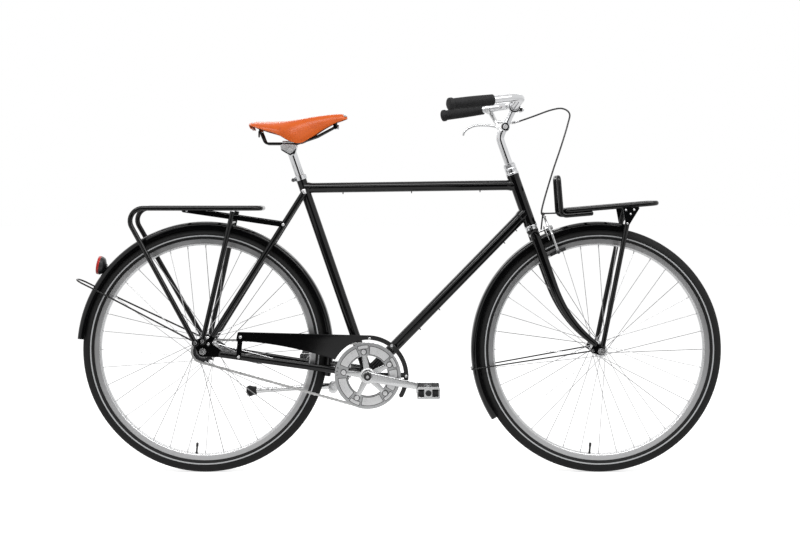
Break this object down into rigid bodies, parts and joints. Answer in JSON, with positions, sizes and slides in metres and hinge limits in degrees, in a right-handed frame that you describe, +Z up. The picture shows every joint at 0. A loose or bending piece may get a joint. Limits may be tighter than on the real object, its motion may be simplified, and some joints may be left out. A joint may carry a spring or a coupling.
{
  "type": "city bike",
  "caption": "Upright city bicycle with a diamond frame, swept handlebar, leather saddle, fenders, chain guard, kickstand and a rack at each end.",
  "frame": {"origin": "on the ground, midway along the bike's length, in its middle plane", "axes": "+X forward, +Y to the rider's left, +Z up"},
  "size_m": [1.8218, 0.5636, 1.056],
  "materials": {
    "paint": "gloss black",
    "chrome": "polished",
    "aluminium": "satin",
    "steel": "zinc plated",
    "tyre": "matt black",
    "rubber": "matt black",
    "black_plastic": "matt black",
    "red_lens": "moulded red lens",
    "leather": "honey brown, polished"
  },
  "bodies": {
    "frame": {"head_tube": "paint", "top_tube": "paint", "down_tube": "paint", "seat_tube": "paint", "bottom_bracket_shell": "paint", "bottom_bracket_cartridge": "steel", "chainstays": "paint", "seatstays": "paint", "seat_post_collar": "chrome", "headset_lower_cup": "chrome", "headset_upper_cup": "chrome", "rear_axle": "steel", "rear_fender": "paint", "rear_fender_stay": "paint", "reflector_housing": "black_plastic", "reflector_lens": "red_lens", "rear_rack": "paint", "rear_rack_front_legs": "paint", "chain": "steel", "chain_guard": "paint", "kickstand_bracket": "aluminium"},
    "steering": {"fork": "paint", "headset_locknut": "chrome", "stem": "chrome", "handlebar": "chrome", "grip_right": "rubber", "grip_left": "rubber", "brake_lever_perch": "aluminium", "brake_cable": "black_plastic", "calliper_bolt": "steel", "front_axle": "steel", "front_fender": "paint", "front_fender_stay": "paint", "front_rack": "paint", "front_rack_struts": "paint"},
    "front_wheel": {"front_tyre": "tyre", "front_rim": "aluminium", "front_hub_and_spokes": "steel"},
    "rear_wheel": {"rear_tyre": "tyre", "rear_rim": "aluminium", "rear_hub_and_spokes": "steel"},
    "rear_driver": {"rear_sprocket": "steel"},
    "crank": {"chainring": "aluminium", "crank_right": "aluminium", "crank_left": "aluminium"},
    "pedal_right": {"pedal_right_cage": "aluminium", "pedal_right_tread": "rubber"},
    "pedal_left": {"pedal_left_cage": "aluminium", "pedal_left_tread": "rubber"},
    "brake_lever": {"brake_lever": "aluminium"},
    "calliper_right": {"calliper_arm_right": "aluminium", "brake_shoe_right": "rubber"},
    "calliper_left": {"calliper_arm_left": "aluminium", "brake_shoe_left": "rubber"},
    "kickstand": {"kickstand_leg": "aluminium", "kickstand_foot": "rubber"},
    "seat": {"seat_post": "chrome", "saddle_frame": "steel", "saddle_top": "leather"}
  },
  "joints": [
    {"name": "steering_turn", "type": "hinge", "parent": "frame", "child": "steering", "pos_m": [0.37255, 0, 0.69701], "axis": [-0.3338, 0, 0.9426], "range_deg": [-80, 80]},
    {"name": "front_wheel_roll", "type": "hinge", "parent": "steering", "child": "front_wheel", "pos_m": [0.56496, 0, 0.346], "axis": [0, 1, 0], "continuous": true},
    {"name": "rear_wheel_roll", "type": "hinge", "parent": "frame", "child": "rear_wheel", "pos_m": [-0.54574, 0, 0.346], "axis": [0, 1, 0], "continuous": true},
    {"name": "rear_driver_turn", "type": "hinge", "parent": "frame", "child": "rear_driver", "pos_m": [-0.54574, 0, 0.346], "axis": [0, 1, 0], "continuous": true},
    {"name": "crank_turn", "type": "hinge", "parent": "frame", "child": "crank", "pos_m": [-0.0864, 0, 0.277], "axis": [0, 1, 0], "continuous": true},
    {"name": "pedal_right_turn", "type": "hinge", "parent": "crank", "child": "pedal_right", "pos_m": [0.08076, -0.126, 0.24602], "axis": [0, 1, 0], "continuous": true},
    {"name": "pedal_left_turn", "type": "hinge", "parent": "crank", "child": "pedal_left", "pos_m": [-0.25355, 0.126, 0.30798], "axis": [0, 1, 0], "continuous": true},
    {"name": "brake_lever_squeeze", "type": "hinge", "parent": "steering", "child": "brake_lever", "pos_m": [0.29712, 0.2, 0.98364], "axis": [0.2069, 0.9249, -0.319], "range_deg": [0, 22], "stiffness_Nm_per_rad": 1.5},
    {"name": "calliper_right_close", "type": "hinge", "parent": "steering", "child": "calliper_right", "pos_m": [0.38127, 0, 0.6724], "axis": [0.9426, 0, 0.3338], "range_deg": [0, 1.7]},
    {"name": "calliper_left_close", "type": "hinge", "parent": "steering", "child": "calliper_left", "pos_m": [0.38127, 0, 0.6724], "axis": [0.9426, 0, 0.3338], "range_deg": [-1.7, 0]},
    {"name": "kickstand_swing", "type": "hinge", "parent": "frame", "child": "kickstand", "pos_m": [-0.18704, 0.036, 0.234], "axis": [0, -0.9272, -0.3746], "range_deg": [0, 95]},
    {"name": "seat_height", "type": "slide", "parent": "frame", "child": "seat", "axis": [-0.3256, 0, 0.9455], "range_m": [-0.05, 0.05]}
  ],
  "couplings": [
    {"joint": "rear_driver_turn", "follows": "crank_turn", "ratio": 2.75},
    {"joint": "calliper_right_close", "follows": "brake_lever_squeeze", "ratio": 0.077},
    {"joint": "calliper_left_close", "follows": "brake_lever_squeeze", "ratio": -0.077}
  ]
}
